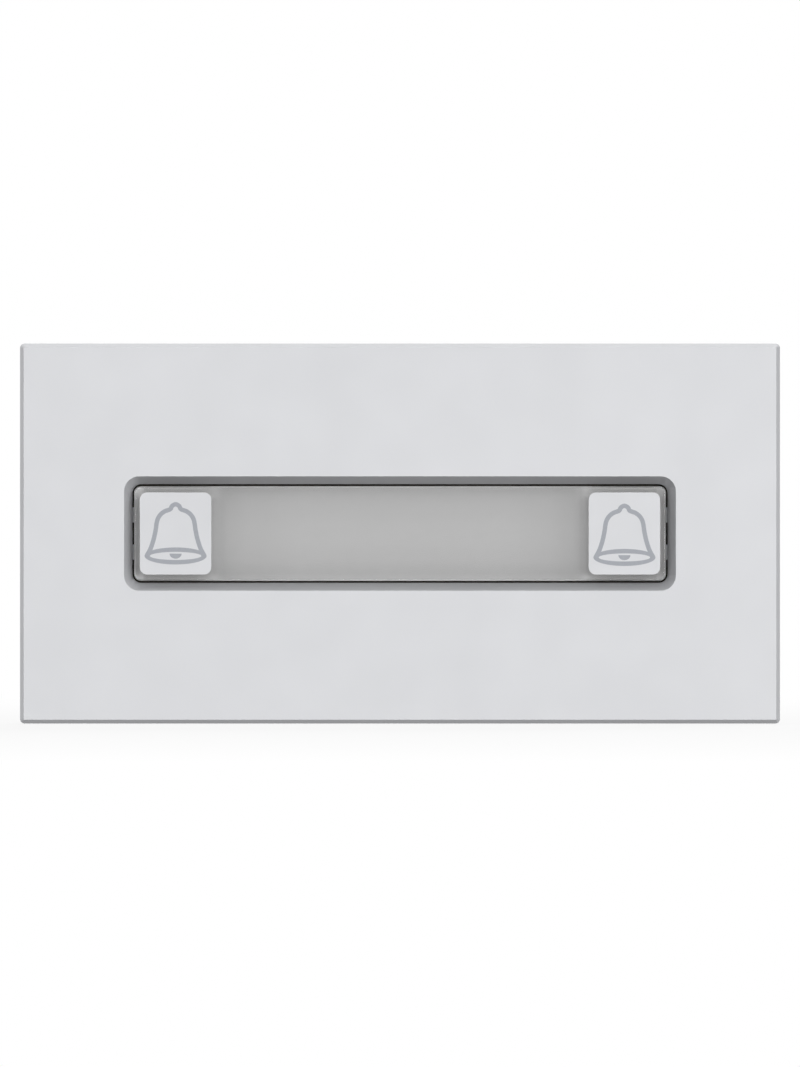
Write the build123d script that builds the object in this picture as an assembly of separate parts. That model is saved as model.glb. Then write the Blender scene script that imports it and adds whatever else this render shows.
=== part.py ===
from build123d import *
import os

# Intercom button module: a light front plate with one wide, sprung call button in a sloped recess, and a
# sealed housing behind it. Millimetres. Seen from the front, X runs to the right and Z up, and the front
# faces -Y. The origin is the centre of the four frame screws, on the plane of the plate's rear rim.

# Front plate
PLATE_W = 100.0
PLATE_H = 50.0
PLATE_DEPTH = 12.0
FACE_WALL = 2.4
SKIRT_WALL = 3.0
SKIRT_INNER_R = 1.0
EDGE_RUN = 0.5
EDGE_DROP = 0.9
CORNER_R = 0.6

# Call button, and the recess that it sits in
BUTTON_W = 70.0
BUTTON_H = 12.45
BUTTON_R = 0.9
BUTTON_GAP = 0.28
BUTTON_PROUD = 2.7
BUTTON_TRAVEL = 0.9
RIM_RUN = 1.02
RIM_DEPTH = 3.5
RIM_R = 2.0
COLLAR_LENGTH = 2.9
COLLAR_WALL = 1.4

# Guide ribs at the two ends of the collar
GUIDE_W = 2.0
GUIDE_SPACING = 4.9
GUIDE_SINK = 1.2
GUIDE_CLEARANCE = 0.07

# Clear lens and what it shows
LENS_EDGE_R = 0.2
TILE_W = 9.4
TILE_H = 10.8
TILE_R = 0.95
TILE_THICK = 0.6
TILE_MARGIN = 0.77
TILE_CLEARANCE = 0.04
CARD_CLEARANCE = 0.05
CARD_GAP = 0.05
LABEL_THICK = 0.25
DIFFUSER_THICK = 1.0

# Snap tongues of the lens, hidden behind the tiles
TONGUE_W = 4.0
TONGUE_THICK = 0.7
TONGUE_SPACING = 6.0
TONGUE_CLEARANCE = 0.15
BARB_REACH = 0.4
BARB_LENGTH = 0.6
BARB_GAP = 0.05

# Tray behind the lens, with its stop flange
TRAY_THICK = 1.2
TRAY_LIP = 1.3
TRAY_R = 1.6
TRAY_ROOM = 2.62
TRAY_RIB = 1.0
TRAY_RIB_LENGTH = 1.2
PAD_X = 27.0
PAD_R = 2.0
PAD_LENGTH = 2.4
PRESS_GAP = 0.05

# Push switches
SWITCH_W = 6.0
SWITCH_LENGTH = 3.5
SWITCH_R = 0.4
SWITCH_LIP = 0.6
STEM_R = 1.7
STEM_OUT = 1.95
STEM_EDGE = 0.3
STEM_CLEARANCE = 0.05
FLANGE_R = 2.2
FLANGE_THICK = 0.5
CHAMBER_SPARE = 0.2

# Return springs and their cups
SPRING_X = 13.0
SPRING_R = 2.25
SPRING_TURNS = 4.0
WIRE_R = 0.25
SPRING_CLEARANCE = 0.05
SPIGOT_LENGTH = 1.6
SPIGOT_CLEARANCE = 0.3
CUP_FLOOR = 0.8
CUP_WALL = 0.8
CUP_LENGTH = 2.4
PEG_R = 0.75
PEG_CLEARANCE = 0.05

# Circuit board and what it carries
BOARD_THICK = 1.6
BOARD_CLEARANCE = 0.5
BOARD_R = 1.5
LED_XS = (-20.5, -5.5, 5.5, 20.5)
LED_W = 3.5
LED_H = 2.8
LED_THICK = 1.4
LED_EDGE = 0.3
WINDOW_W = 5.0
WINDOW_H = 6.0
WINDOW_R = 0.8
CHIP_SIDE = 7.0
CHIP_THICK = 1.0
CHIP_EDGE = 0.2
CHIP_X = -22.0
CAPACITOR_R = 3.15
CAPACITOR_LENGTH = 5.2
CAPACITOR_EDGE = 0.5
CAPACITOR_BASE = 6.6
CAPACITOR_BASE_THICK = 0.6
CAPACITOR_BASE_CUT = 1.2
CAPACITOR_X = 22.0

# Bus sockets and pins
SOCKET_INSET = 5.7
SOCKET_W = 15.0
SOCKET_H = 8.4
SOCKET_R = 0.4
SOCKET_LENGTH = 8.7
SOCKET_WALL = 1.2
SOCKET_FLOOR = 1.8
SOCKET_SINK = 0.2
SOCKET_CLEARANCE = 0.25
KEY_W = 3.6
KEY_DEPTH = 5.0
PIN_PITCH = 2.54
PIN_COUNT = 4
PIN_SIDE = 0.64
PIN_OUT = 2.6
PIN_TAIL = 1.0
PIN_POINT = 0.15
PIN_CLEARANCE = 0.04
PIN_HOLE_R = 0.5

# Rear housing
TOP_BAY = 5.0
TUB_WALL = 1.8
TUB_R = 2.5
TUB_EDGE_R = 1.0
PLUG_BAY_MARGIN = 1.8
PLUG_BAY_DEPTH = 0.6
PLUG_BAY_R = 1.0
POST_INSET = 4.7
POST_R = 2.4
RIB_COUNT = 7
RIB_PITCH = 11.0
RIB_THICK = 1.0
RIB_HEIGHT = 0.8
RIB_END = 1.6
LOCATOR_WALL = 1.0
LOCATOR_R = 0.5
LOCATOR_HEIGHT = 2.4
LOCATOR_CLEARANCE = 0.25

# Seals
GASKET_THICK = 0.8
GROOVE_W = 1.4
GROOVE_DEPTH = 1.0
GROOVE_R = 1.6
GROOVE_IN_R = 0.8
CORD_CLEARANCE = 0.1
CORD_PROUD = 0.3
CORD_EDGE = 0.24

# Frame screw holes, ears and screws
FRAME_SIDE_INSET = 6.0
FRAME_TOP_INSET = 5.0
FRAME_BOSS_R = 2.8
FRAME_HOLE_R = 1.25
FRAME_HOLE_DEPTH = 8.0
FRAME_WEB = 2.0
EAR_SPACING = 56.0
EAR_THICK = 2.2
EAR_CLEARANCE = 0.3
EAR_BOSS_LENGTH = 5.2
EAR_HOLE_CLEARANCE = 0.2
SCREW_R = 1.1
SCREW_CLEARANCE = 0.05
SCREW_REACH = 4.0
SCREW_TIP = 0.4
SCREW_SPARE = 0.4
HEAD_R = 2.1
HEAD_LENGTH = 1.6
HEAD_EDGE_R = 0.6
CROSS_W = 2.4
CROSS_THICK = 0.6
CROSS_DEPTH = 0.9

# Depths, from the front face to the back of the housing
Y_RIM = 0.0
Y_FRONT = Y_RIM - PLATE_DEPTH
Y_FACE_BACK = Y_FRONT + FACE_WALL
Y_FOOT = Y_FRONT + RIM_DEPTH
Y_LENS = Y_FOOT - BUTTON_PROUD
Y_STOP = Y_FOOT + COLLAR_LENGTH
Y_DIFFUSER = Y_STOP - DIFFUSER_THICK
Y_LABEL = Y_DIFFUSER - LABEL_THICK
Y_LENS_BACK = Y_LABEL - CARD_GAP
Y_TRAY_BACK = Y_STOP + TRAY_THICK
Y_PAD = Y_TRAY_BACK + PAD_LENGTH
Y_STEM = Y_PAD + PRESS_GAP
Y_SWITCH = Y_STEM + STEM_OUT
Y_FLANGE = Y_SWITCH + SWITCH_LIP + STEM_CLEARANCE
Y_FLANGE_BACK = Y_FLANGE + FLANGE_THICK
Y_CHAMBER_END = Y_FLANGE_BACK + BUTTON_TRAVEL + CHAMBER_SPARE
Y_BOARD = Y_SWITCH + SWITCH_LENGTH
Y_BOARD_BACK = Y_BOARD + BOARD_THICK
Y_CUP_SEAT = Y_BOARD - CUP_FLOOR
Y_SOCKET_FLOOR = Y_BOARD_BACK + SOCKET_FLOOR
Y_SOCKET_END = Y_BOARD_BACK + SOCKET_LENGTH
Y_BACK = Y_SOCKET_END + SOCKET_SINK
Y_BACK_IN = Y_BACK - TUB_WALL
Y_TUB = Y_FACE_BACK + GASKET_THICK
Y_EAR = Y_FACE_BACK + EAR_BOSS_LENGTH
Y_EAR_BACK = Y_EAR + EAR_THICK

# Outlines that several pieces share
SKIRT_IN_W = PLATE_W - 2 * SKIRT_WALL
SKIRT_IN_H = PLATE_H - 2 * SKIRT_WALL
OPENING_W = BUTTON_W + 2 * BUTTON_GAP
OPENING_H = BUTTON_H + 2 * BUTTON_GAP
OPENING_R = BUTTON_R + BUTTON_GAP
TRAY_W = OPENING_W + 2 * TRAY_LIP
TRAY_H = OPENING_H + 2 * TRAY_LIP
TUB_W = TRAY_W + 2 * (TRAY_ROOM + TUB_WALL)
TUB_H = SKIRT_IN_H - 2 * TOP_BAY
TUB_IN_W = TUB_W - 2 * TUB_WALL
TUB_IN_H = TUB_H - 2 * TUB_WALL
TUB_IN_R = TUB_R - TUB_WALL
BOARD_W = TUB_IN_W - 2 * BOARD_CLEARANCE
BOARD_H = TUB_IN_H - 2 * BOARD_CLEARANCE
EAR_R = TOP_BAY / 2 - EAR_CLEARANCE
CUP_R = SPRING_R + WIRE_R + SPIGOT_CLEARANCE

# Places that several pieces share
TILE_X = BUTTON_W / 2 - TILE_MARGIN - TILE_W / 2
TONGUE_PLACES = [(x, side) for x in (-TILE_X, TILE_X) for side in (-1, 1)]
EAR_Z = TUB_H / 2 + TOP_BAY / 2
EAR_PLACES = [(x, z) for x in (-EAR_SPACING / 2, EAR_SPACING / 2) for z in (-EAR_Z, EAR_Z)]
FRAME_X = PLATE_W / 2 - FRAME_SIDE_INSET
FRAME_Z = PLATE_H / 2 - FRAME_TOP_INSET
FRAME_PLACES = [(x, z) for x in (-FRAME_X, FRAME_X) for z in (-FRAME_Z, FRAME_Z)]
SOCKET_Z = BOARD_H / 2 - SOCKET_INSET
POST_X = TUB_IN_W / 2 - POST_INSET
POST_Z = TUB_IN_H / 2 - POST_INSET
POST_PLACES = [(x, z) for x in (-POST_X, POST_X) for z in (-POST_Z, POST_Z)]
PIN_STEPS = [PIN_PITCH * (i - (PIN_COUNT - 1) / 2) for i in range(PIN_COUNT)]
PIN_PLACES = [(x, z) for z in (-SOCKET_Z, SOCKET_Z) for x in PIN_STEPS]


def facing(y):
    """Plane at depth y whose own x and y are the module's X and Z."""
    return Plane(origin=(0, y, 0), x_dir=(1, 0, 0), z_dir=(0, -1, 0))


def slab(outline, front, back):
    """Solid with an outline in X and Z, between two depths."""
    return extrude(facing(back) * outline, amount=back - front)


def round_bar(x, z, radius, front, back):
    return slab(Pos(x, z) * Circle(radius), front, back)


def frame_outline(width, height, radius, wall, inner_radius):
    """Closed band of one width all round."""
    inside = RectangleRounded(width - 2 * wall, height - 2 * wall, inner_radius)
    return RectangleRounded(width, height, radius) - inside


def front_edges(solid):
    return solid.edges().group_by(Axis.Y)[0]


def back_edges(solid):
    return solid.edges().group_by(Axis.Y)[-1]


def tile_outline(spare=0.0):
    return RectangleRounded(TILE_W + 2 * spare, TILE_H + 2 * spare, TILE_R + spare)


def front_plate():
    plate = slab(RectangleRounded(PLATE_W, PLATE_H, CORNER_R), Y_FRONT, Y_RIM)
    face = plate.faces().sort_by(Axis.Y)[0]
    plate = chamfer(front_edges(plate), EDGE_RUN, EDGE_DROP, reference=face)
    plate -= slab(RectangleRounded(SKIRT_IN_W, SKIRT_IN_H, SKIRT_INNER_R), Y_FACE_BACK, Y_RIM)

    # Collar that the button slides in, and the upstand that centres the rear housing
    collar_w = OPENING_W + 2 * COLLAR_WALL
    collar_h = OPENING_H + 2 * COLLAR_WALL
    plate += slab(RectangleRounded(collar_w, collar_h, OPENING_R + COLLAR_WALL), Y_FACE_BACK, Y_STOP)
    locator = frame_outline(
        TUB_IN_W - 2 * LOCATOR_CLEARANCE,
        TUB_IN_H - 2 * LOCATOR_CLEARANCE,
        LOCATOR_WALL + LOCATOR_R,
        LOCATOR_WALL,
        LOCATOR_R,
    )
    plate += slab(locator, Y_FACE_BACK, Y_FACE_BACK + LOCATOR_HEIGHT)

    # Bosses for the frame screws, each tied to the skirt by a web
    for x, z in FRAME_PLACES:
        plate += round_bar(x, z, FRAME_BOSS_R, Y_FACE_BACK, Y_RIM)
        side = 1 if x > 0 else -1
        web_w = FRAME_SIDE_INSET - SKIRT_WALL / 2
        plate += slab(Pos(x + side * web_w / 2, z) * Rectangle(web_w, FRAME_WEB), Y_FACE_BACK, Y_RIM)
        plate -= round_bar(x, z, FRAME_HOLE_R, Y_RIM - FRAME_HOLE_DEPTH, Y_RIM)

    # Bosses for the screws that hold the rear housing
    for x, z in EAR_PLACES:
        plate += round_bar(x, z, EAR_R, Y_FACE_BACK, Y_EAR)
        plate -= round_bar(x, z, SCREW_R + SCREW_CLEARANCE, Y_EAR - SCREW_REACH - SCREW_SPARE, Y_EAR)

    # Sloped rim, then the straight opening with its guide ribs
    mouth = RectangleRounded(OPENING_W + 2 * RIM_RUN, OPENING_H + 2 * RIM_RUN, RIM_R)
    opening = RectangleRounded(OPENING_W, OPENING_H, OPENING_R)
    plate -= loft([facing(Y_FRONT) * mouth, facing(Y_FOOT) * opening], ruled=True)
    plate -= slab(opening, Y_FOOT, Y_STOP)
    rib_inner = BUTTON_W / 2 + GUIDE_CLEARANCE
    rib_outer = OPENING_W / 2 + COLLAR_WALL / 2
    for side in (-1, 1):
        for z in (-GUIDE_SPACING / 2, GUIDE_SPACING / 2):
            rib = Pos(side * (rib_inner + rib_outer) / 2, z) * Rectangle(rib_outer - rib_inner, GUIDE_W)
            plate += slab(rib, Y_FOOT + GUIDE_SINK, Y_STOP)

    # Groove for the seal cord in the rear rim
    groove = frame_outline(
        PLATE_W - SKIRT_WALL + GROOVE_W,
        PLATE_H - SKIRT_WALL + GROOVE_W,
        GROOVE_R,
        GROOVE_W,
        GROOVE_IN_R,
    )
    return plate - slab(groove, Y_RIM - GROOVE_DEPTH, Y_RIM)


def frame_gasket():
    cord_w = GROOVE_W - 2 * CORD_CLEARANCE
    cord = frame_outline(
        PLATE_W - SKIRT_WALL + cord_w,
        PLATE_H - SKIRT_WALL + cord_w,
        GROOVE_R,
        cord_w,
        GROOVE_IN_R,
    )
    gasket = slab(cord, Y_RIM - GROOVE_DEPTH, Y_RIM + CORD_PROUD)
    return chamfer(back_edges(gasket), CORD_EDGE)


def button_lens():
    """Clear block in front of the card, with pockets for the tiles."""
    cap = slab(RectangleRounded(BUTTON_W, BUTTON_H, BUTTON_R), Y_LENS, Y_LENS_BACK)
    cap = fillet(front_edges(cap), LENS_EDGE_R)
    for x in (-TILE_X, TILE_X):
        cap -= slab(Pos(x, 0) * tile_outline(TILE_CLEARANCE), Y_LENS, Y_LENS + TILE_THICK)
    for x, side in TONGUE_PLACES:
        cap += snap_tongue(x, side)
    return cap


def snap_tongue(x, side):
    """Tongue from the back of the lens through the tray, with a barb that turns outwards behind it."""
    inner = TONGUE_SPACING / 2 - TONGUE_THICK / 2
    outer = TONGUE_SPACING / 2 + TONGUE_THICK / 2
    barb = Y_TRAY_BACK + BARB_GAP
    profile = Polygon(
        (Y_LENS_BACK, side * inner),
        (barb + BARB_LENGTH, side * inner),
        (barb + BARB_LENGTH, side * outer),
        (barb, side * (outer + BARB_REACH)),
        (barb, side * outer),
        (Y_LENS_BACK, side * outer),
        align=None,
    )
    return extrude(Plane.YZ.offset(x) * profile, amount=TONGUE_W / 2, both=True)


def bell_tile(x):
    return slab(Pos(x, 0) * tile_outline(), Y_LENS, Y_LENS + TILE_THICK)


def tongue_slots(front, back):
    slot = Rectangle(TONGUE_W + 2 * TONGUE_CLEARANCE, TONGUE_THICK + 2 * TONGUE_CLEARANCE)
    return [slab(Pos(x, side * TONGUE_SPACING / 2) * slot, front, back) for x, side in TONGUE_PLACES]


def card(front, back):
    """Sheet of the lens's own outline, with slots for its tongues."""
    width = BUTTON_W - 2 * CARD_CLEARANCE
    height = BUTTON_H - 2 * CARD_CLEARANCE
    sheet = slab(RectangleRounded(width, height, BUTTON_R - CARD_CLEARANCE), front, back)
    return sheet - tongue_slots(front, back)


def label_tray():
    tray = slab(RectangleRounded(TRAY_W, TRAY_H, TRAY_R), Y_STOP, Y_TRAY_BACK)
    for x in LED_XS:
        tray -= slab(Pos(x, 0) * RectangleRounded(WINDOW_W, WINDOW_H, WINDOW_R), Y_STOP, Y_TRAY_BACK)
    tray -= tongue_slots(Y_STOP, Y_TRAY_BACK)
    rib = frame_outline(TRAY_W, TRAY_H, TRAY_R, TRAY_RIB, TRAY_R - TRAY_RIB)
    tray += slab(rib, Y_TRAY_BACK, Y_TRAY_BACK + TRAY_RIB_LENGTH)
    spigot_r = SPRING_R - WIRE_R - SPIGOT_CLEARANCE
    for side in (-1, 1):
        tray += round_bar(side * PAD_X, 0, PAD_R, Y_TRAY_BACK, Y_PAD)
        tray += round_bar(side * SPRING_X, 0, spigot_r, Y_TRAY_BACK, Y_TRAY_BACK + SPIGOT_LENGTH)
    return tray


def return_spring(x):
    """Coil whose two end turns lie on the tray and in the cup."""
    front = Y_TRAY_BACK + SPRING_CLEARANCE + WIRE_R
    back = Y_CUP_SEAT - WIRE_R
    height = back - front
    coil = Helix(pitch=height / SPRING_TURNS, height=height, radius=SPRING_R)
    wire = sweep(Plane(origin=coil @ 0, z_dir=coil % 0) * Circle(WIRE_R), path=coil, is_frenet=True)
    return Pos(x, front, 0) * Rot(-90, 0, 0) * wire


def spring_cup(x):
    cup = round_bar(x, 0, CUP_R + CUP_WALL, Y_BOARD - CUP_LENGTH, Y_BOARD)
    cup -= round_bar(x, 0, CUP_R, Y_BOARD - CUP_LENGTH, Y_CUP_SEAT)
    return cup + round_bar(x, 0, PEG_R, Y_BOARD, Y_BOARD_BACK)


def switch_body(x):
    body = slab(Pos(x, 0) * RectangleRounded(SWITCH_W, SWITCH_W, SWITCH_R), Y_SWITCH, Y_BOARD)
    body -= round_bar(x, 0, STEM_R + STEM_CLEARANCE, Y_SWITCH, Y_SWITCH + SWITCH_LIP)
    return body - round_bar(x, 0, FLANGE_R + STEM_CLEARANCE, Y_SWITCH + SWITCH_LIP, Y_CHAMBER_END)


def switch_plunger(x):
    stem = round_bar(x, 0, STEM_R, Y_STEM, Y_FLANGE)
    stem = chamfer(front_edges(stem), STEM_EDGE)
    return stem + round_bar(x, 0, FLANGE_R, Y_FLANGE, Y_FLANGE_BACK)


def circuit_board():
    board = slab(RectangleRounded(BOARD_W, BOARD_H, BOARD_R), Y_BOARD, Y_BOARD_BACK)
    for x, z in POST_PLACES:
        board -= round_bar(x, z, SCREW_R + EAR_HOLE_CLEARANCE, Y_BOARD, Y_BOARD_BACK)
    for x, z in PIN_PLACES:
        board -= round_bar(x, z, PIN_HOLE_R, Y_BOARD, Y_BOARD_BACK)
    for x in (-SPRING_X, SPRING_X):
        board -= round_bar(x, 0, PEG_R + PEG_CLEARANCE, Y_BOARD, Y_BOARD_BACK)
    return board


def led(x):
    body = slab(Pos(x, 0) * Rectangle(LED_W, LED_H), Y_BOARD - LED_THICK, Y_BOARD)
    return chamfer(front_edges(body), LED_EDGE)


def controller_chip():
    chip = slab(Pos(CHIP_X, 0) * Rectangle(CHIP_SIDE, CHIP_SIDE), Y_BOARD_BACK, Y_BOARD_BACK + CHIP_THICK)
    return chamfer(back_edges(chip), CHIP_EDGE)


def bus_capacitor():
    base_back = Y_BOARD_BACK + CAPACITOR_BASE_THICK
    base = slab(Pos(CAPACITOR_X, 0) * Rectangle(CAPACITOR_BASE, CAPACITOR_BASE), Y_BOARD_BACK, base_back)
    base = chamfer(base.edges().filter_by(Axis.Y).group_by(Axis.Z)[-1], CAPACITOR_BASE_CUT)
    can = round_bar(CAPACITOR_X, 0, CAPACITOR_R, base_back, base_back + CAPACITOR_LENGTH)
    return base + fillet(back_edges(can), CAPACITOR_EDGE)


def bus_socket(z):
    socket = slab(Pos(0, z) * RectangleRounded(SOCKET_W, SOCKET_H, SOCKET_R), Y_BOARD_BACK, Y_SOCKET_END)
    hollow = Rectangle(SOCKET_W - 2 * SOCKET_WALL, SOCKET_H - 2 * SOCKET_WALL)
    socket -= slab(Pos(0, z) * hollow, Y_SOCKET_FLOOR, Y_SOCKET_END)
    key = Pos(0, z + SOCKET_H / 2) * Rectangle(KEY_W, 2 * SOCKET_WALL)
    socket -= slab(key, Y_SOCKET_END - KEY_DEPTH, Y_SOCKET_END)
    hole_side = PIN_SIDE + 2 * PIN_CLEARANCE
    for x in PIN_STEPS:
        socket -= slab(Pos(x, z) * Rectangle(hole_side, hole_side), Y_BOARD_BACK, Y_SOCKET_FLOOR)
    return socket


def bus_pin(x, z):
    pin = slab(Pos(x, z) * Rectangle(PIN_SIDE, PIN_SIDE), Y_BOARD - PIN_TAIL, Y_SOCKET_FLOOR + PIN_OUT)
    return chamfer(back_edges(pin), PIN_POINT)


def rear_housing():
    tub = slab(RectangleRounded(TUB_W, TUB_H, TUB_R), Y_TUB, Y_BACK)
    tub = fillet(back_edges(tub), TUB_EDGE_R)

    # Ears for the housing screws
    for x, z in EAR_PLACES:
        side = 1 if z > 0 else -1
        neck = TOP_BAY / 2 + TUB_WALL / 2
        ear = Pos(x, z - side * neck / 2) * Rectangle(2 * EAR_R, neck) + Pos(x, z) * Circle(EAR_R)
        tub += slab(ear, Y_EAR, Y_EAR_BACK)

    # Stiffening ribs along the top and bottom, behind the plate's rim
    rib = Rectangle(RIB_THICK, RIB_HEIGHT + TUB_WALL / 2)
    rib_z = TUB_H / 2 + RIB_HEIGHT / 2 - TUB_WALL / 4
    for i in range(RIB_COUNT):
        x = RIB_PITCH * (i - (RIB_COUNT - 1) / 2)
        for side in (-1, 1):
            tub += slab(Pos(x, side * rib_z) * rib, Y_RIM + RIB_END, Y_BACK - TUB_EDGE_R - RIB_END)

    tub -= slab(RectangleRounded(TUB_IN_W, TUB_IN_H, TUB_IN_R), Y_TUB, Y_BACK_IN)
    for x, z in EAR_PLACES:
        tub -= round_bar(x, z, SCREW_R + EAR_HOLE_CLEARANCE, Y_EAR, Y_EAR_BACK)

    # Posts for the board
    for x, z in POST_PLACES:
        tub += round_bar(x, z, POST_R, Y_BOARD_BACK, Y_BACK_IN)
        hole_end = Y_BOARD_BACK + SCREW_REACH + SCREW_SPARE
        tub -= round_bar(x, z, SCREW_R + SCREW_CLEARANCE, Y_BOARD_BACK, hole_end)

    # Windows for the bus sockets, each in a shallow bay
    window_w = SOCKET_W + 2 * SOCKET_CLEARANCE
    window_h = SOCKET_H + 2 * SOCKET_CLEARANCE
    window = RectangleRounded(window_w, window_h, SOCKET_R + SOCKET_CLEARANCE)
    bay = RectangleRounded(window_w + 2 * PLUG_BAY_MARGIN, window_h + 2 * PLUG_BAY_MARGIN, PLUG_BAY_R)
    for z in (-SOCKET_Z, SOCKET_Z):
        tub -= slab(Pos(0, z) * window, Y_BACK_IN, Y_BACK)
        tub -= slab(Pos(0, z) * bay, Y_BACK - PLUG_BAY_DEPTH, Y_BACK)
    return tub


def housing_gasket():
    band = frame_outline(TUB_W, TUB_H, TUB_R, TUB_WALL, TUB_IN_R)
    return slab(band, Y_FACE_BACK, Y_TUB)


def screw(grip):
    """Pan-head screw along Z: the head's seat is at 0, and the shank reaches past the grip into its hole."""
    head = Pos(0, 0, HEAD_LENGTH / 2) * Cylinder(HEAD_R, HEAD_LENGTH)
    head = fillet(head.edges().group_by(Axis.Z)[-1], HEAD_EDGE_R)
    for turn in (0, 90):
        blade = Rot(0, 0, turn) * Box(CROSS_W, CROSS_THICK, CROSS_DEPTH)
        head -= Pos(0, 0, HEAD_LENGTH - CROSS_DEPTH / 2) * blade
    length = grip + SCREW_REACH
    shank = Pos(0, 0, -length / 2) * Cylinder(SCREW_R, length)
    return head + chamfer(shank.edges().group_by(Axis.Z)[0], SCREW_TIP)


def housing_screws():
    """Driven from behind, through the ears into the front plate."""
    return [Pos(x, Y_EAR_BACK, z) * Rot(-90, 0, 0) * screw(EAR_THICK) for x, z in EAR_PLACES]


def board_screws():
    """Driven from the front, through the board into the housing's posts."""
    return [Pos(x, Y_BOARD, z) * Rot(90, 0, 0) * screw(BOARD_THICK) for x, z in POST_PLACES]


def write(name, *solids):
    shape = solids[0] if len(solids) == 1 else Compound(children=list(solids))
    export_step(shape, f"parts/{name}.step")


os.makedirs("parts", exist_ok=True)
write("front_plate", front_plate())
write("frame_gasket", frame_gasket())
write("rear_housing", rear_housing())
write("housing_gasket", housing_gasket())
write("housing_screws", *housing_screws())
write("board_screws", *board_screws())
write("circuit_board", circuit_board())
write("backlight_leds", *[led(x) for x in LED_XS])
write("controller_chip", controller_chip())
write("bus_capacitor", bus_capacitor())
write("bus_socket_in", bus_socket(SOCKET_Z))
write("bus_socket_out", bus_socket(-SOCKET_Z))
write("bus_pins", *[bus_pin(x, z) for x, z in PIN_PLACES])
write("spring_cups", spring_cup(-SPRING_X), spring_cup(SPRING_X))
write("button_lens", button_lens())
write("name_label", card(Y_LABEL, Y_DIFFUSER))
write("light_diffuser", card(Y_DIFFUSER, Y_STOP))
write("label_tray", label_tray())
for side, name in ((-1, "left"), (1, "right")):
    write(f"bell_tile_{name}", bell_tile(side * TILE_X))
    write(f"return_spring_{name}", return_spring(side * SPRING_X))
    write(f"switch_body_{name}", switch_body(side * PAD_X))
    write(f"switch_plunger_{name}", switch_plunger(side * PAD_X))
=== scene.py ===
# %% [markdown]
# # An intercom button module
# The module is a pale plastic plate, twice as wide as it is high, with one long call button in a sloped
# recess. Its exact solids come first, as a fixed frame in metres: X to the right, Y from the front to the
# wall, Z up. Everything after that only dresses the solids or adds thin pieces to them.

import bpy
import numpy as np
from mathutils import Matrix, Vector


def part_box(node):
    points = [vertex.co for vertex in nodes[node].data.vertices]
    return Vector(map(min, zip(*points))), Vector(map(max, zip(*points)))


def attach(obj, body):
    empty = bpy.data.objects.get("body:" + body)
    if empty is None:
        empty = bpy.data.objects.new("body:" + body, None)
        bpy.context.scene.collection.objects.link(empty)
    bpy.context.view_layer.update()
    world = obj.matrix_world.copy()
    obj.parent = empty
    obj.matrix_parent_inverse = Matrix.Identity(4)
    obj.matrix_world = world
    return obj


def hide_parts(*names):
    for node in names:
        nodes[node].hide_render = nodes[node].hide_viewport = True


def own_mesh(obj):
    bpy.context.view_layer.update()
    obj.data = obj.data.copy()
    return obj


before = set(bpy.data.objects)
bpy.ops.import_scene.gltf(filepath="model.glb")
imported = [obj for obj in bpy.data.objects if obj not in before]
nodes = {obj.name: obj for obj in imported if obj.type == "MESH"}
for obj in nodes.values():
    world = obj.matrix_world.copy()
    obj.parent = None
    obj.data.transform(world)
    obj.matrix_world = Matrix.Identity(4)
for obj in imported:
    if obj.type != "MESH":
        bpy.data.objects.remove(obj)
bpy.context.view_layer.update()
plate_low, plate_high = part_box("front_plate")
MM = 0.001
print("solids:", len(nodes), "plate in mm:", [round(side / MM, 2) for side in plate_high - plate_low])

# %% [markdown]
# ## The camera
# The photograph looks straight at the plate from the front, with hardly any perspective, so a long lens
# stands far back. The picture's long side shows a known height at the plate's face, and the distance
# follows from the lens and that height. An orthographic camera would do for this one picture, but a long
# lens also looks natural from every other side.

# %% Camera in front of the plate
PICTURE_H_PX = 1067
PLATE_W_PX = 760.2
LENS_MM = 600.0
SENSOR_MM = 36.0
NEAREST_SEEN = 0.01

scene = bpy.context.scene
scene.view_settings.view_transform = "Standard"
seen_height = (plate_high.x - plate_low.x) * PICTURE_H_PX / PLATE_W_PX
camera_distance = seen_height * LENS_MM / SENSOR_MM

camera_data = bpy.data.cameras.new("front_camera")
camera_data.lens = LENS_MM
camera_data.sensor_width = SENSOR_MM
camera_data.clip_start = NEAREST_SEEN
camera = bpy.data.objects.new("front_camera", camera_data)
camera.location = (0.0, plate_low.y - camera_distance, 0.0)
camera.rotation_euler = Vector((0.0, 1.0, 0.0)).to_track_quat("-Z", "Y").to_euler()
scene.collection.objects.link(camera)
scene.camera = camera
print("camera stands", round(camera_distance, 4), "m in front of the plate")

# %% [markdown]
# ## Joining nodes
# The finishes and the lights below are built from Blender's shader nodes. Linking nodes one by one takes
# many lines, so four small helpers each make one node, link what goes in, and give back what comes out.

# %% Helpers for shader nodes
def larger(tree, first, second):
    """The larger of two values."""
    node = tree.nodes.new("ShaderNodeMath")
    node.operation = "MAXIMUM"
    tree.links.new(first, node.inputs[0])
    tree.links.new(second, node.inputs[1])
    return node.outputs["Value"]


def mapped(tree, value, start, end, low, high):
    """Runs evenly from low to high while the value goes from start to end, and stays there beyond them."""
    node = tree.nodes.new("ShaderNodeMapRange")
    node.inputs["From Min"].default_value = start
    node.inputs["From Max"].default_value = end
    node.inputs["To Min"].default_value = low
    node.inputs["To Max"].default_value = high
    tree.links.new(value, node.inputs["Value"])
    return node.outputs["Result"]


def coloured(tree, value, stops, run="LINEAR"):
    """Colour that runs through the stops as the value rises; each stop is a value of 0 to 1 and a colour."""
    node = tree.nodes.new("ShaderNodeValToRGB")
    node.color_ramp.interpolation = run
    points = node.color_ramp.elements
    while len(points) < len(stops):
        points.new(1.0)
    for point, (position, colour) in zip(points, stops):
        point.position = position
        point.color = colour
    tree.links.new(value, node.inputs["Fac"])
    return node.outputs["Color"]


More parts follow.
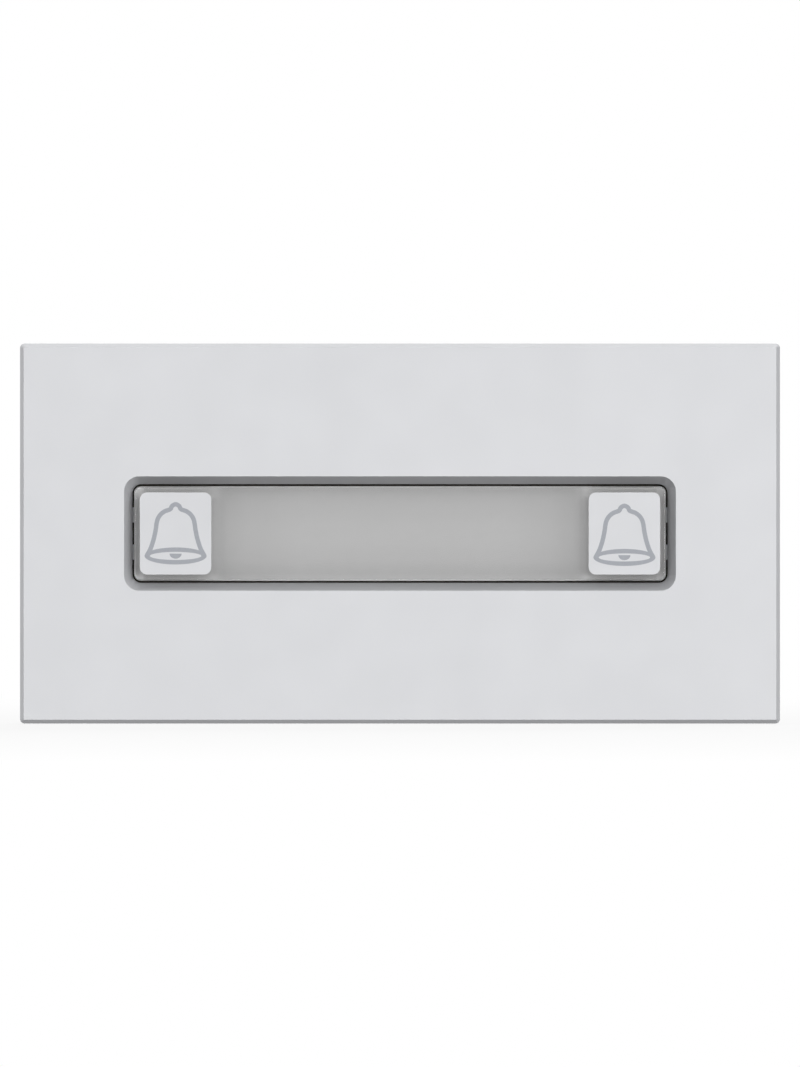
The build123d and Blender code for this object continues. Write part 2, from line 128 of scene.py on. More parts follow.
def parted(tree, share, first, second):
    """Shader that is the first where the share is nought, and the second where it is one."""
    node = tree.nodes.new("ShaderNodeMixShader")
    tree.links.new(share, node.inputs["Fac"])
    tree.links.new(first, node.inputs[1])
    tree.links.new(second, node.inputs[2])
    return node.outputs["Shader"]


print("node helpers ready")

# %% [markdown]
# ## The light of the room
# A studio picture on white needs two things at once: a white ground for the eye, and a plain level of light
# on the object. A bright white room would give the first and spoil the second. Light Path tells the two
# apart: rays from the camera, and rays that mirror or pass through something, see plain white, and all
# other rays see only a weak, even light.

# %% White world with a weak even light
EVEN_LIGHT = 0.12
WHITE_LIGHT = 1.0
WHITE = (1.0, 1.0, 1.0, 1.0)


def seen_directly(tree):
    """One for rays that the viewer sees, straight, mirrored or through something; nought for others."""
    path = tree.nodes.new("ShaderNodeLightPath")
    mirrored = larger(tree, path.outputs["Is Camera Ray"], path.outputs["Is Glossy Ray"])
    return larger(tree, mirrored, path.outputs["Is Transmission Ray"])


world = bpy.data.worlds.new("white_studio")
world.use_nodes = True
scene.world = world
sky = world.node_tree
even = sky.nodes["Background"]
even.inputs["Color"].default_value = WHITE
even.inputs["Strength"].default_value = EVEN_LIGHT
plain_white = sky.nodes.new("ShaderNodeBackground")
plain_white.inputs["Color"].default_value = WHITE
plain_white.inputs["Strength"].default_value = WHITE_LIGHT
room = parted(sky, seen_directly(sky), even.outputs["Background"], plain_white.outputs["Background"])
sky.links.new(room, sky.nodes["World Output"].inputs["Surface"])
print("even light:", EVEN_LIGHT)

# %% [markdown]
# ## The floor
# The floor is nearly white for the viewer too, and the small share of real shading that is left near the
# module keeps its shadow. That share fades out with distance, so that no line shows where the floor ends
# and the white begins. A plain white floor would be simpler, but it would throw its light up into the
# recess, so for all other rays the floor is dark. It lies a tenth of a millimetre below the plate, because
# two faces in one plane flicker. The front lamps are large and reach below it, so it casts no shadow.

# %% Floor in its place
FLOOR_SIDE = 6.0
FLOOR_GAP = 0.1 * MM

corner_x = FLOOR_SIDE / 2 * np.array([-1.0, 1.0, 1.0, -1.0])
corner_y = FLOOR_SIDE / 2 * np.array([-1.0, -1.0, 1.0, 1.0])
floor_z = plate_low.z - FLOOR_GAP
corners = np.stack([corner_x, corner_y, np.full(4, floor_z)], axis=1)
floor_mesh = bpy.data.meshes.new("floor")
floor_mesh.from_pydata(corners.tolist(), [], [(0, 1, 2, 3)])
floor = bpy.data.objects.new("floor", floor_mesh)
scene.collection.objects.link(floor)
floor.visible_shadow = False
print("floor at z", round(floor_z, 4))

# %% Pale floor that keeps a faint shadow
FLOOR_TONE = (0.86, 0.86, 0.86, 1.0)
FLOOR_ROUGHNESS = 0.9
FLOOR_BOUNCE = (0.03, 0.03, 0.03, 1.0)
WHITE_NEAR = 0.86
WHITE_FAR = 1.0
SHADOW_NEAR = 0.08
SHADOW_END = 0.40

pale_floor = bpy.data.materials.new("pale_floor")
pale_floor.use_nodes = True
tree = pale_floor.node_tree
matt = tree.nodes["Principled BSDF"]
matt.inputs["Base Color"].default_value = FLOOR_TONE
matt.inputs["Roughness"].default_value = FLOOR_ROUGHNESS
matt.inputs["Specular IOR Level"].default_value = 0.0
glow = tree.nodes.new("ShaderNodeEmission")
glow.inputs["Color"].default_value = WHITE
bounce = tree.nodes.new("ShaderNodeBsdfDiffuse")
bounce.inputs["Color"].default_value = FLOOR_BOUNCE

place = tree.nodes.new("ShaderNodeTexCoord")
distance = tree.nodes.new("ShaderNodeVectorMath")
distance.operation = "LENGTH"
tree.links.new(place.outputs["Object"], distance.inputs[0])
whiteness = mapped(tree, distance.outputs["Value"], SHADOW_NEAR, SHADOW_END, WHITE_NEAR, WHITE_FAR)
pale = parted(tree, whiteness, matt.outputs["BSDF"], glow.outputs["Emission"])
ground = parted(tree, seen_directly(tree), bounce.outputs["BSDF"], pale)
tree.links.new(ground, tree.nodes["Material Output"].inputs["Surface"])
floor_mesh.materials.append(pale_floor)
print("share of white near the module:", WHITE_NEAR)

# %% [markdown]
# ## The lamps
# One large lamp would light the face evenly and leave the recess flat. So two lamps stand in front, and the
# right one is stronger: each of them lights the slope on the far side of the recess. The wide lamp and the
# one at the left edge draw the plate's upright bevels, the one overhead draws the top bevel, and the one
# behind shows the dark housing. A lamp's share is how bright a white card that faces it would look from this
# lamp alone, which is easier to balance than watts.

# %% Lamps: place, share and sides
LAMPS = {
    "near_left": ((-0.33, -1.25, 0.08), 0.34, (0.50, 0.50)),
    "near_right": ((0.33, -1.25, 0.08), 0.505, (0.50, 0.50)),
    "wide_right": ((1.00, -0.75, 0.05), 0.14, (0.50, 1.00)),
    "left_edge": ((-0.90, 0.10, 0.15), 0.16, (0.30, 0.30)),
    "crown": ((0.00, 0.10, 0.90), 0.33, (0.50, 0.50)),
    "rear": ((0.25, 1.15, 0.58), 0.70, (0.70, 0.70)),
}


def add_lamp(name, place, card_share, sides):
    """Flat lamp aimed at the module: its power is the share times pi squared times distance squared."""
    data = bpy.data.lights.new(name, "AREA")
    data.shape = "RECTANGLE"
    data.size, data.size_y = sides
    data.energy = card_share * np.pi ** 2 * Vector(place).length_squared
    lamp = bpy.data.objects.new(name, data)
    lamp.location = place
    lamp.rotation_euler = (-Vector(place)).to_track_quat("-Z", "Y").to_euler()
    scene.collection.objects.link(lamp)
    return lamp


for lamp_name, (lamp_place, card_share, sides) in LAMPS.items():
    lamp = add_lamp(lamp_name, lamp_place, card_share, sides)
    print(lamp_name, "watts:", round(lamp.data.energy, 2))

# %% [markdown]
# ## How a finish is built
# Every finish below starts from one Principled shader. What makes plastic look like plastic is small and
# uneven: the tone wanders a little, the gloss wanders a little, and a moulded skin has a relief of a few
# thousandths of a millimetre. Pictures could give all that, but they stretch and have seams. Noise on Object
# coordinates has its real size on every piece, so the helpers below make tone, gloss and relief from noise.

# %% Tones
SCREEN_KNEE = 0.04045
SCREEN_SLOPE = 12.92
SCREEN_SHIFT = 0.055
SCREEN_POWER = 2.4


def tone(red, green, blue):
    """Linear colour of a screen tone of 0 to 255: a straight line up to the knee, a power above it."""
    share = np.array([red, green, blue]) / 255.0
    power = ((share + SCREEN_SHIFT) / (1.0 + SCREEN_SHIFT)) ** SCREEN_POWER
    linear = np.where(share <= SCREEN_KNEE, share / SCREEN_SLOPE, power)
    return (*linear.tolist(), 1.0)


def scaled(colour, factor):
    """The same colour, times a factor."""
    return (*[channel * factor for channel in colour[:3]], 1.0)


print("middle grey on a screen is", round(tone(128, 128, 128)[0], 3), "of white light")

# %% Plain finishes
def new_finish(name, colour, roughness, **sockets):
    """Material with one Principled shader, a plain colour, a roughness and any other plain sockets."""
    finish = bpy.data.materials.new(name)
    finish.use_nodes = True
    shader = finish.node_tree.nodes["Principled BSDF"]
    shader.inputs["Base Color"].default_value = colour
    shader.inputs["Roughness"].default_value = roughness
    for socket, value in sockets.items():
        shader.inputs[socket.replace("_", " ")].default_value = value
    return finish


def feed(finish, socket, value):
    """Links a value to a socket of the finish's Principled shader."""
    tree = finish.node_tree
    tree.links.new(value, tree.nodes["Principled BSDF"].inputs[socket])


def fed_by(finish, socket):
    """What is linked to a socket of the finish's Principled shader."""
    return finish.node_tree.nodes["Principled BSDF"].inputs[socket].links[0].from_socket


def dress(finish, *names):
    """Gives a finish to solids of the frame."""
    for name in names:
        nodes[name].data.materials.clear()
        nodes[name].data.materials.append(finish)


print("finish helpers ready")

# %% Uneven tone, gloss and relief
NOISE_LOW = 0.3
NOISE_HIGH = 0.7
ALL_WAYS = (1.0, 1.0, 1.0)


def cloud(finish, size_mm, detail, stretch):
    """Noise of 0 to 1 whose blotches are about size_mm wide, times the stretch along X, Y and Z."""
    tree = finish.node_tree
    place = tree.nodes.new("ShaderNodeTexCoord")
    scale = tree.nodes.new("ShaderNodeMapping")
    scale.inputs["Scale"].default_value = [1.0 / (size_mm * MM * factor) for factor in stretch]
    noise = tree.nodes.new("ShaderNodeTexNoise")
    noise.inputs["Scale"].default_value = 1.0
    noise.inputs["Detail"].default_value = detail
    tree.links.new(place.outputs["Object"], scale.inputs["Vector"])
    tree.links.new(scale.outputs["Vector"], noise.inputs["Vector"])
    return noise.outputs["Fac"]


def wander_tone(finish, dark, light, size_mm, detail=2.0, stretch=ALL_WAYS):
    """Base colour that goes from dark to light over the middle of the noise."""
    noise = cloud(finish, size_mm, detail, stretch)
    feed(finish, "Base Color", coloured(finish.node_tree, noise, ((NOISE_LOW, dark), (NOISE_HIGH, light))))


def wander_gloss(finish, low, high, size_mm, detail=2.0, stretch=ALL_WAYS):
    """Roughness that goes from low to high over the middle of the noise."""
    noise = cloud(finish, size_mm, detail, stretch)
    feed(finish, "Roughness", mapped(finish.node_tree, noise, NOISE_LOW, NOISE_HIGH, low, high))


def raise_by(finish, height, depth_mm):
    """Bump of a depth in millimetres from a height of 0 to 1."""
    bump = finish.node_tree.nodes.new("ShaderNodeBump")
    bump.inputs["Strength"].default_value = 1.0
    bump.inputs["Distance"].default_value = depth_mm * MM
    finish.node_tree.links.new(height, bump.inputs["Height"])
    feed(finish, "Normal", bump.outputs["Normal"])


def relief(finish, depth_mm, size_mm, detail=2.0, stretch=ALL_WAYS):
    """Bump of a depth in millimetres from noise."""
    raise_by(finish, cloud(finish, size_mm, detail, stretch), depth_mm)


print("noise helpers ready")

# %% [markdown]
# ## The front plate and its tiles
# The plate and the two tiles are the same pale, slightly cool grey plastic. The plate has a fine moulded
# grain that takes the shine off; the tiles are smoother. Real bumps in the mesh would need millions of
# faces for a grain finer than the picture's pixels. A relief in the shader softens the gloss just as well,
# and shows in a close view.

# %% Plate grey and tile grey
PLATE_TONE = tone(220, 221, 224)
plate_grey = new_finish("plate_grey", PLATE_TONE, roughness=0.5, Specular_IOR_Level=0.35)
wander_tone(plate_grey, scaled(PLATE_TONE, 0.985), scaled(PLATE_TONE, 1.01), size_mm=18.0, detail=3.0)
wander_gloss(plate_grey, 0.46, 0.56, size_mm=6.0)
relief(plate_grey, depth_mm=0.004, size_mm=0.16, detail=1.0)
dress(plate_grey, "front_plate")

# The tiles have the plate's tone, darkened a little as painted shade.
TILE_SHADED_TONE = scaled(PLATE_TONE, 0.94)
tile_grey = new_finish("tile_grey", TILE_SHADED_TONE, roughness=0.4, Specular_IOR_Level=0.35)
wander_tone(tile_grey, scaled(TILE_SHADED_TONE, 0.99), scaled(TILE_SHADED_TONE, 1.005), size_mm=5.0)
wander_gloss(tile_grey, 0.36, 0.44, size_mm=2.0)
relief(tile_grey, depth_mm=0.001, size_mm=0.25, detail=1.0)
dress(tile_grey, "bell_tile_left", "bell_tile_right")
print("plate tone:", [round(channel, 3) for channel in PLATE_TONE])

# %% [markdown]
# ## The lens
# The lens is a block of clear plastic, so it bends what is seen through it. A see-through film would be
# simpler, but it would look like nothing from the side. A path tracer finds few ways for lamplight through
# bent glass, and would leave the card behind it noisy and dark. So Light Path parts the rays: what the
# viewer sees is real glass, and light on its way to a lamp goes straight through. The moulded sides and
# rounded edges of the block are frosted, which keeps sharp glints off them, and they let less light through
# than the polished faces, so the recess and the edges of the card keep their soft shade.

# %% Clear block with frosted sides
LENS_IOR = 1.49
SIDE_ROUGHNESS = 0.75
FROST_ENDS = (0.985, 0.999)
SIDE_PASSES = (0.42, 0.42, 0.42, 1.0)
PASSING_ENDS = (0.3, 0.9)


def face_share(tree):
    """One on the front and back of the block, nought on its sides: the size of the normal's Y."""
    place = tree.nodes.new("ShaderNodeTexCoord")
    split = tree.nodes.new("ShaderNodeSeparateXYZ")
    size = tree.nodes.new("ShaderNodeMath")
    size.operation = "ABSOLUTE"
    tree.links.new(place.outputs["Normal"], split.inputs["Vector"])
    tree.links.new(split.outputs["Y"], size.inputs[0])
    return size.outputs["Value"]


lens_clear = new_finish("lens_clear", WHITE, roughness=0.03, IOR=LENS_IOR, Transmission_Weight=1.0)
wander_gloss(lens_clear, 0.0, 0.02, size_mm=8.0)
tree = lens_clear.node_tree
on_face = face_share(tree)
frost = mapped(tree, on_face, *FROST_ENDS, SIDE_ROUGHNESS, 0.0)
feed(lens_clear, "Roughness", larger(tree, frost, fed_by(lens_clear, "Roughness")))
print("frosted sides:", SIDE_ROUGHNESS)

# %% Straight way for lamplight
straight = tree.nodes.new("ShaderNodeBsdfTransparent")
passing = coloured(tree, on_face, ((PASSING_ENDS[0], SIDE_PASSES), (PASSING_ENDS[1], WHITE)))
tree.links.new(passing, straight.inputs["Color"])
path = tree.nodes.new("ShaderNodeLightPath")
lighting = larger(tree, path.outputs["Is Shadow Ray"], path.outputs["Is Diffuse Ray"])
glass = tree.nodes["Principled BSDF"].outputs["BSDF"]
clear = parted(tree, lighting, glass, straight.outputs["BSDF"])
tree.links.new(clear, tree.nodes["Material Output"].inputs["Surface"])
dress(lens_clear, "button_lens")
print("a side lets through", SIDE_PASSES[0], "of the lamplight")

# %% [markdown]
# ## What lies behind the lens
# The card is thin paper with faint fibres. Its tone carries painted shade: it is palest in its middle and
# darker towards the tiles and the long edges, where the tiles and the recess shade it. Real lamps behind a
# translucent card would also make a pale middle, at the cost of much noise. So the tone itself fades, by
# stops that were set by comparing the render with the photograph. They also paint light: they make the card
# paler again at its edges, where the shade of the tiles and the recess came out too dark, and its two ends
# differ, as the light falls on them. Along the card, stops beyond one lie behind the tiles and in the thin
# borders outside them. The milky diffuser and the dark tray behind the card show only at the edges and
# through the gap.

# %% Painted shade and painted light that fade along one axis
def paint_shade_along(finish, axis, half_length, stops):
    """Painted shade and painted light: base colour times a grey that changes along X or Z. Each stop is a
    share of the half length, below nought on the left or the lower side, and the grey there."""
    tree = finish.node_tree
    place = tree.nodes.new("ShaderNodeTexCoord")
    split = tree.nodes.new("ShaderNodeSeparateXYZ")
    tree.links.new(place.outputs["Object"], split.inputs["Vector"])
    first, last = stops[0][0], stops[-1][0]
    along = mapped(tree, split.outputs[axis], half_length * first, half_length * last, 0.0, 1.0)
    greys = [((share - first) / (last - first), (grey, grey, grey, 1.0)) for share, grey in stops]
    product = tree.nodes.new("ShaderNodeVectorMath")
    product.operation = "MULTIPLY"
    tree.links.new(fed_by(finish, "Base Color"), product.inputs[0])
    tree.links.new(coloured(tree, along, greys, "EASE"), product.inputs[1])
    feed(finish, "Base Color", product.outputs["Vector"])


print("fading tone ready")

# %% Grey card with painted shade
CARD_TONE = tone(185, 185, 185)
FIBRES = (3.0, 1.0, 1.0)
# Painted shade and painted light along the card: greys below one darken it, greys above one lighten it.
CARD_PAINTED_SHADE_ALONG = (
    (-1.40, 1.75),
    (-1.375, 1.70),
    (-1.35, 0.95),
    (-1.03, 0.95),
    (-0.99, 1.08),
    (-0.93, 0.835),
    (-0.78, 0.925),
    (-0.50, 0.99),
    (0.50, 0.99),
    (0.78, 0.95),
    (0.92, 0.89),
    (0.955, 1.02),
    (0.985, 1.28),
    (1.03, 0.95),
    (1.35, 0.95),
    (1.375, 1.40),
    (1.40, 1.45),
)
# Painted shade up the card: darker towards its long edges, painted paler again at its top edge.
CARD_PAINTED_SHADE_UP = (
    (-1.00, 0.99),
    (-0.85, 0.84),
    (-0.50, 0.95),
    (-0.15, 1.00),
    (0.15, 1.00),
    (0.50, 0.96),
    (0.85, 0.89),
    (1.00, 1.12),
)

card_grey = new_finish("card_grey", CARD_TONE, roughness=0.85, Specular_IOR_Level=0.1)
wander_tone(card_grey, scaled(CARD_TONE, 0.97), CARD_TONE, size_mm=0.5, detail=4.0, stretch=FIBRES)
relief(card_grey, depth_mm=0.003, size_mm=0.2, stretch=FIBRES)
card_low, card_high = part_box("name_label")
tile_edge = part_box("bell_tile_right")[0].x
# The card's tone carries painted shade and painted light along X and up Z.
paint_shade_along(card_grey, "X", tile_edge, CARD_PAINTED_SHADE_ALONG)
paint_shade_along(card_grey, "Z", (card_high.z - card_low.z) / 2, CARD_PAINTED_SHADE_UP)
dress(card_grey, "name_label")
print("name field between the tiles in mm:", round(2 * tile_edge / MM, 2))

# %% Milky diffuser and dark tray
MILK_TONE = tone(238, 238, 236)
diffuser_white = new_finish("diffuser_white", MILK_TONE, roughness=0.55)
wander_tone(diffuser_white, scaled(MILK_TONE, 0.98), MILK_TONE, size_mm=3.0)
relief(diffuser_white, depth_mm=0.004, size_mm=0.12, detail=1.0)
dress(diffuser_white, "light_diffuser")

TRAY_TONE = (0.012, 0.009, 0.004, 1.0)
tray_dark = new_finish("tray_dark", TRAY_TONE, roughness=0.6, Specular_IOR_Level=0.2)
wander_tone(tray_dark, TRAY_TONE, scaled(TRAY_TONE, 1.5), size_mm=2.0)
relief(tray_dark, depth_mm=0.005, size_mm=0.2, detail=1.0)
dress(tray_dark, "label_tray")
print("diffuser and tray dressed")

# %% [markdown]
# ## The bells
# Each tile carries a printed bell: a line of one width round the body, a rim seen a little from below as an
# oval band, and half of a clapper. Ink has almost no height, but a real edge reads better than a painted
# pattern, so each line is a thin flat strip. A strip is a rectangle carried along a path: two edge lines,
# each at the ink's front and back, give the four corners of the section at every step.

# %% Strips and tubes as carried sections
def carried(sections, closed):
    """Skin over sections of equal size, an array of steps by corners by 3. Each corner joins the next one
    round the section and the same one on the next step; an open run gets a face over each end."""
    steps, corners = sections.shape[:2]
    number = np.arange(steps * corners).reshape(steps, corners)
    here = number if closed else number[:-1]
    ahead = np.roll(number, -1, axis=0)[: len(here)]
    quads = np.stack([here, np.roll(here, -1, axis=1), np.roll(ahead, -1, axis=1), ahead], axis=-1)
    faces = quads.reshape(-1, 4).tolist()
    if not closed:
        faces += [number[0, ::-1].tolist(), number[-1].tolist()]
    return sections.reshape(-1, 3), faces


def joined(parts):
    """Several point and face lists as one: each list's numbers move up by the points before it."""
    counts = [len(points) for points, faces in parts]
    starts = np.concatenate([[0], np.cumsum(counts)[:-1]])
    faces = [[int(start + i) for i in face] for start, (_, part) in zip(starts, parts) for face in part]
    return np.concatenate([points for points, _ in parts]), faces


def new_piece(name, points, faces, finish, smooth):
    """Mesh object in metres, at the origin, with outward faces."""
    mesh = bpy.data.meshes.new(name)
    mesh.from_pydata(points.tolist(), [], faces)
    mesh.polygons.foreach_set("use_smooth", np.full(len(faces), smooth))
    mesh.materials.append(finish)
    mesh.update()
    piece = bpy.data.objects.new(name, mesh)
    scene.collection.objects.link(piece)
    return piece


print("strip and tube helpers ready")

# %% Sizes of the bell in millimetres
LINE_MM = 0.58
INK_MM = 0.015
RIM_INK_MM = 1.2 * INK_MM
BELL_RIGHT = np.array(
    [
        (0.0, 3.85),
        (0.46, 3.62),
        (0.66, 3.24),
        (0.96, 3.09),
        (1.46, 2.90),
        (1.98, 2.50),
        (2.34, 1.93),
        (2.51, 1.27),
        (2.60, 0.60),
        (2.80, -0.42),
        (3.04, -1.28),
        (3.34, -2.10),
        (3.76, -2.86),
    ]
)
RIM_MIDDLE = (0.0, -2.95)
RIM_OUTER = (4.08, 1.12)
RIM_INNER = (3.38, 0.53)
CLAPPER_TOP = (0.0, -2.65)
CLAPPER_SIZE = (0.79, 0.66)
CLAPPER_TIP = 0.02
BODY_STEPS = 161
RIM_STEPS = 128
CLAPPER_STEPS = 40
bell_height = BELL_RIGHT[0, 1] + LINE_MM / 2 - RIM_MIDDLE[1] + RIM_OUTER[1]
print("bell in mm:", 2 * RIM_OUTER[0], "by", round(bell_height, 2))

# %% The bell's lines
def smooth_line(points, steps):
    """Curve through points: on each span a cubic, whose slope at a point is half the step from the point
    before it to the point after it."""
    padded = np.concatenate([2 * points[:1] - points[1:2], points, 2 * points[-1:] - points[-2:-1]])
    t = np.linspace(0.0, len(points) - 1.0, steps)
    span = np.minimum(t.astype(int), len(points) - 2)
    u = (t - span)[:, None]
    before, start, end, after = (padded[span + i] for i in range(4))
    bend = 2 * before - 5 * start + 4 * end - after
    twist = -before + 3 * start - 3 * end + after
    return start + 0.5 * u * ((end - before) + u * (bend + u * twist))


def strip(inner, outer, closed, front_mm, back_mm, middle):
    """Flat strip between two edge lines in X and Z, from one depth to another, round a middle point."""
    edges = np.stack([inner, inner, outer, outer], axis=1) + middle
    depths = np.broadcast_to(np.array([front_mm, back_mm, back_mm, front_mm]), edges.shape[:2])
    return carried(np.stack([edges[..., 0], depths, edges[..., 1]], axis=-1) * MM, closed)


def bell(middle, face_mm):
    """Body line, rim band and clapper of one bell, on a tile whose face is at that depth. The body's edges
    lie half a line width to either side, the rim's are two ovals, and the clapper's are half an oval and
    its flat top."""
    line = smooth_line(np.concatenate([BELL_RIGHT[:0:-1] * (-1.0, 1.0), BELL_RIGHT]), BODY_STEPS)
    along = np.gradient(line, axis=0)
    along /= np.linalg.norm(along, axis=1, keepdims=True)
    across = np.stack([-along[:, 1], along[:, 0]], axis=1) * LINE_MM / 2
    body = strip(line - across, line + across, False, face_mm - INK_MM, face_mm, middle)

    turn = np.linspace(2 * np.pi, 0.0, RIM_STEPS, endpoint=False)
    oval = np.stack([np.cos(turn), np.sin(turn)], axis=1)
    inner = RIM_MIDDLE + oval * RIM_INNER
    outer = RIM_MIDDLE + oval * RIM_OUTER
    rim = strip(inner, outer, True, face_mm - RIM_INK_MM, face_mm, middle)

    sweep = np.linspace(CLAPPER_TIP, np.pi - CLAPPER_TIP, CLAPPER_STEPS)
    lower = np.stack([-np.cos(sweep), -np.sin(sweep)], axis=1) * CLAPPER_SIZE
    upper = lower * (1.0, 0.0)
    clapper = strip(CLAPPER_TOP + lower, CLAPPER_TOP + upper, False, face_mm - INK_MM, face_mm, middle)
    return joined([body, rim, clapper])


print("bell lines ready")

# %% Printed bells
INK_TONE = tone(163, 166, 173)
BELL_RISES_MM = {"left": 0.0, "right": -0.2}

ink_grey = new_finish("ink_grey", INK_TONE, roughness=0.5, Specular_IOR_Level=0.3)
wander_tone(ink_grey, scaled(INK_TONE, 0.96), scaled(INK_TONE, 1.02), size_mm=0.4, detail=3.0)
for side, rise_mm in BELL_RISES_MM.items():
    tile_low, tile_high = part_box(f"bell_tile_{side}")
    tile_middle = (tile_low + tile_high) / 2 / MM
    points, faces = bell(np.array([tile_middle.x, tile_middle.z + rise_mm]), tile_low.y / MM)
    piece = new_piece(f"bell_print_{side}", points, faces, ink_grey, False)
    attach(piece, "call_button")
    print(piece.name, "points:", len(points))

# %% [markdown]
# ## The return springs
# Two coil springs push the button out. The solids hold plain helices; a real spring has its end turns closed
# and flat on their seats. A Screw modifier would make the coil too, but with an even rise. So the wire is a
# circle carried along a helix whose rise slows to nothing at both ends.

# %% Coils with closed ends
WIRE_MM = 0.25
COIL_MM = 2.25
TURNS = 6.0
COIL_STEPS = 361
WIRE_SIDES = 12


def coil(low, high, middle_x):
    """Helix round Y whose rise follows a smooth step, three times the square less twice the cube, as a tube
    with wire and coil radii in millimetres."""
    share = np.linspace(0.0, 1.0, COIL_STEPS)
    rise = share * share * (3 - 2 * share)
    angle = 2 * np.pi * TURNS * share
    outward = np.stack([np.cos(angle), np.zeros_like(angle), np.sin(angle)], axis=1)
    start = low + WIRE_MM
    length = high - low - 2 * WIRE_MM
    axis = np.stack([np.full_like(rise, middle_x), start + length * rise, np.zeros_like(rise)], axis=1)
    line = axis + COIL_MM * outward
    along = np.gradient(line, axis=0)
    along /= np.linalg.norm(along, axis=1, keepdims=True)
    sideways = np.cross(along, outward)
    ring = np.linspace(0.0, 2 * np.pi, WIRE_SIDES, endpoint=False)[None, :, None]
    wire = WIRE_MM * (np.cos(ring) * outward[:, None, :] + np.sin(ring) * sideways[:, None, :])
    return carried((line[:, None, :] + wire) * MM, False)


print("coil in mm:", 2 * (COIL_MM + WIRE_MM), "across, wire", 2 * WIRE_MM)

# %% Springs in their cups
SPRING_TONE = (0.56, 0.56, 0.55, 1.0)
spring_steel = new_finish("spring_steel", SPRING_TONE, roughness=0.3, Metallic=1.0)
wander_gloss(spring_steel, 0.22, 0.38, size_mm=0.3, detail=3.0)
for side in ("left", "right"):
    name = f"return_spring_{side}"
    spring_low, spring_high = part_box(name)
    middle = (spring_low + spring_high) / 2
    points, faces = coil(spring_low.y / MM, spring_high.y / MM, middle.x / MM)
    piece = new_piece(f"spring_coil_{side}", points, faces, spring_steel, True)
    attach(piece, "module")
    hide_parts(name)
    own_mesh(piece)
    dress(spring_steel, name)

# %% [markdown]
# ## The rear housing and the seals
# The back is never seen once the module is on its frame, so it is plain black plastic with the coarse
# texture that spark erosion leaves in a mould, and soft black rubber seals. One noise of several sizes is
# relief enough for the spark texture, and the mesh stays as light as the solid.

# %% Black housing and rubber
HOUSING_TONE = (0.030, 0.030, 0.033, 1.0)
housing_black = new_finish("housing_black", HOUSING_TONE, roughness=0.55, Specular_IOR_Level=0.35)
wander_tone(housing_black, scaled(HOUSING_TONE, 0.97), scaled(HOUSING_TONE, 1.05), size_mm=9.0, detail=4.0)
wander_gloss(housing_black, 0.51, 0.60, size_mm=1.2, detail=3.0)
relief(housing_black, depth_mm=0.03, size_mm=0.35, detail=3.0)
dress(housing_black, "rear_housing")

RUBBER_TONE = (0.022, 0.022, 0.022, 1.0)
seal_rubber = new_finish("seal_rubber", RUBBER_TONE, roughness=0.75, Specular_IOR_Level=0.3)
wander_tone(seal_rubber, RUBBER_TONE, scaled(RUBBER_TONE, 1.9), size_mm=1.5, detail=4.0)
wander_gloss(seal_rubber, 0.66, 0.85, size_mm=0.8)
relief(seal_rubber, depth_mm=0.01, size_mm=0.15)
dress(seal_rubber, "frame_gasket", "housing_gasket")
print("housing and seals dressed")

# %% [markdown]
# ## Metal parts
# Zinc-plated screws have a soft, slightly patchy shine; the contact pins are gold plated and smoother, and
# the drawn can of the capacitor has fine lines along it. All are fully metallic, so their colour is the
# colour of their reflections. A grey plastic would look chalky beside them.

# %% Screws, pins and can
ZINC_TONE = (0.64, 0.65, 0.64, 1.0)
ZINC_DARK = (0.56, 0.57, 0.56, 1.0)
ZINC_WARM = (0.70, 0.69, 0.64, 1.0)
screw_steel = new_finish("screw_steel", ZINC_TONE, roughness=0.35, Metallic=1.0)
wander_tone(screw_steel, ZINC_DARK, ZINC_WARM, size_mm=0.9, detail=3.0)
wander_gloss(screw_steel, 0.26, 0.46, size_mm=0.5, detail=3.0)
relief(screw_steel, depth_mm=0.004, size_mm=0.1)
dress(screw_steel, "housing_screws", "board_screws")

GOLD_TONE = (0.83, 0.62, 0.26, 1.0)
pin_gold = new_finish("pin_gold", GOLD_TONE, roughness=0.25, Metallic=1.0)
wander_tone(pin_gold, scaled(GOLD_TONE, 0.88), GOLD_TONE, size_mm=0.6)
wander_gloss(pin_gold, 0.18, 0.32, size_mm=0.3, detail=3.0)
dress(pin_gold, "bus_pins")

CAN_TONE = (0.75, 0.75, 0.76, 1.0)
DRAWN_LINES = (1.0, 12.0, 1.0)
can_aluminium = new_finish("can_aluminium", CAN_TONE, roughness=0.3, Metallic=1.0)
wander_gloss(can_aluminium, 0.22, 0.42, size_mm=0.2, stretch=DRAWN_LINES)
dress(can_aluminium, "bus_capacitor")
print("metal dressed")

# %% [markdown]
# ## Sockets, switches and small parts
# The sockets are natural nylon, a warm ivory that is a little uneven, and the spring cups are a paler nylon.
# The switches and the chip are black, the chip with a finer speckle. A flat colour would do at this size,
# but in a close view an uneven one looks moulded.

# %% Nylon sockets and cups
IVORY_TONE = (0.74, 0.70, 0.58, 1.0)
socket_ivory = new_finish("socket_ivory", IVORY_TONE, roughness=0.45)
wander_tone(socket_ivory, scaled(IVORY_TONE, 0.93), scaled(IVORY_TONE, 1.03), size_mm=2.5, detail=3.0)
wander_gloss(socket_ivory, 0.38, 0.52, size_mm=1.0)
relief(socket_ivory, depth_mm=0.006, size_mm=0.2)
dress(socket_ivory, "bus_socket_in", "bus_socket_out")

CUP_TONE = (0.72, 0.71, 0.68, 1.0)
cup_natural = new_finish("cup_natural", CUP_TONE, roughness=0.5)
wander_tone(cup_natural, scaled(CUP_TONE, 0.94), CUP_TONE, size_mm=1.5)
relief(cup_natural, depth_mm=0.005, size_mm=0.2)
dress(cup_natural, "spring_cups")
print("nylon dressed")

